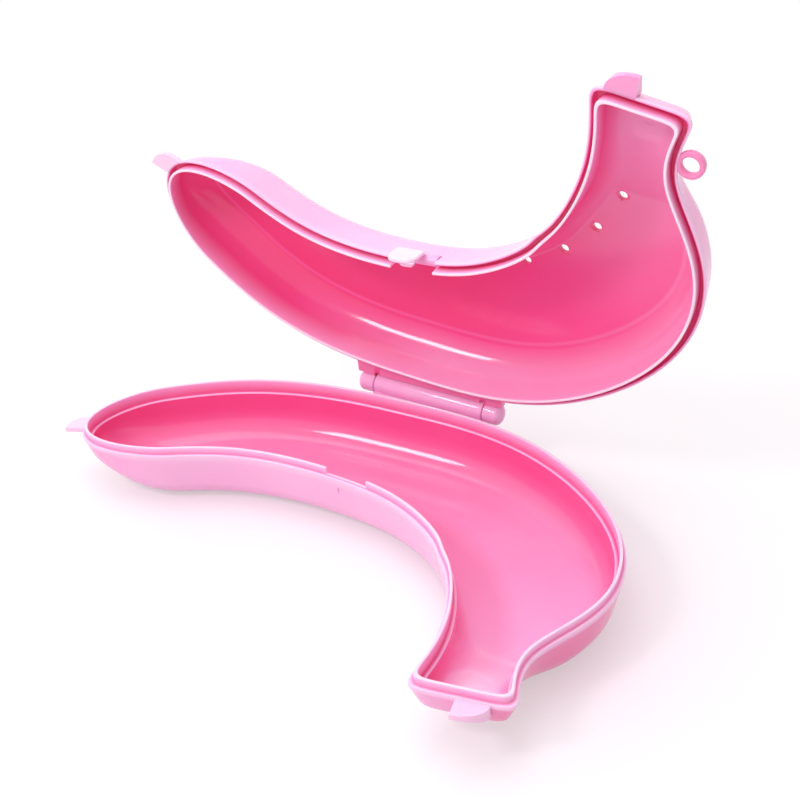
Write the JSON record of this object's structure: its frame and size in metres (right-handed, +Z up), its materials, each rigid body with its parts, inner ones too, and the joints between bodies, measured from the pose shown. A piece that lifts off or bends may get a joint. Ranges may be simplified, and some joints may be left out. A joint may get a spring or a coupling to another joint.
{
  "type": "banana carrying case",
  "caption": "Curved clamshell carrying case for a banana, with a pinned hinge, tongue-and-groove rim, swinging latch clip, thumb tabs, key loop and air vents.",
  "frame": {"origin": "on the table, under the middle of the base's hinge and latch, on the flat outside of the base's floor", "axes": "+X along the hinge pin from the tip towards the stem end, +Y from the latch towards the hinge, +Z up from the base's floor; the lid is drawn open"},
  "size_m": [0.2135, 0.1563, 0.1615],
  "materials": {
    "case_plastic": "smooth, glossy, slightly translucent pink injection moulding",
    "clip_plastic": "smooth, glossy pink injection moulding",
    "pin_steel": "plain drawn wire"
  },
  "bodies": {
    "base": {"base_shell": "case_plastic", "hinge_pin": "pin_steel"},
    "lid": {"lid_shell": "case_plastic", "latch_pin": "pin_steel"},
    "latch": {"latch_clip": "clip_plastic"}
  },
  "joints": [
    {"name": "lid_hinge", "type": "hinge", "parent": "base", "child": "lid", "pos_m": [0.00011, 0.03454, 0.0225], "axis": [1, 0, 0], "range_deg": [0, 82.5]},
    {"name": "latch_hinge", "type": "hinge", "parent": "lid", "child": "latch", "pos_m": [-0.00088, 0.02954, 0.08122], "axis": [0.9986, -0.007, 0.0528], "range_deg": [-25, 7]}
  ]
}
